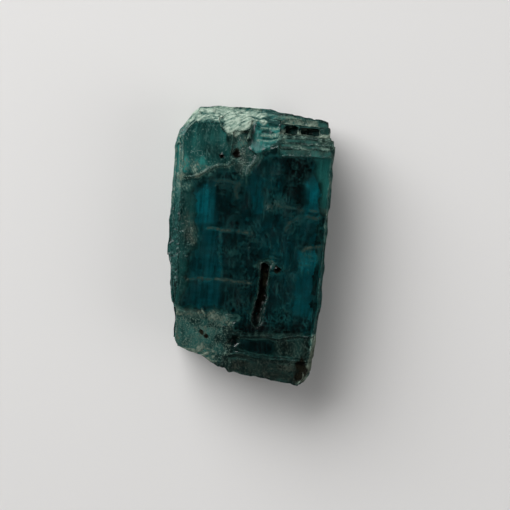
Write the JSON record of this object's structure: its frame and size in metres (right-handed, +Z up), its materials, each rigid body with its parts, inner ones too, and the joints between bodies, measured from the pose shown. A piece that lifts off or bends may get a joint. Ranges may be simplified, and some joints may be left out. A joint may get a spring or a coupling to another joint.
{
  "type": "kyanite specimen",
  "caption": "Broken tabular blade of teal kyanite with flat cleavage faces, stepped ends and ledged sides, lying on its rear face.",
  "frame": {"origin": "middle of the bounding box's base, on the flat rear cleavage face that the crystal rests on", "axes": "+Y along the crystal's length (its c axis), towards the stepped end; +Z up, square to the broad cleavage faces; +X across the blade"},
  "size_m": [0.0192, 0.033, 0.009],
  "materials": {
    "kyanite": "deep teal, see-through crystal with glassy cleavage faces, frosted pale green on its broken edges and ends"
  },
  "bodies": {
    "root": {"kyanite_crystal": "kyanite"}
  },
  "joints": []
}
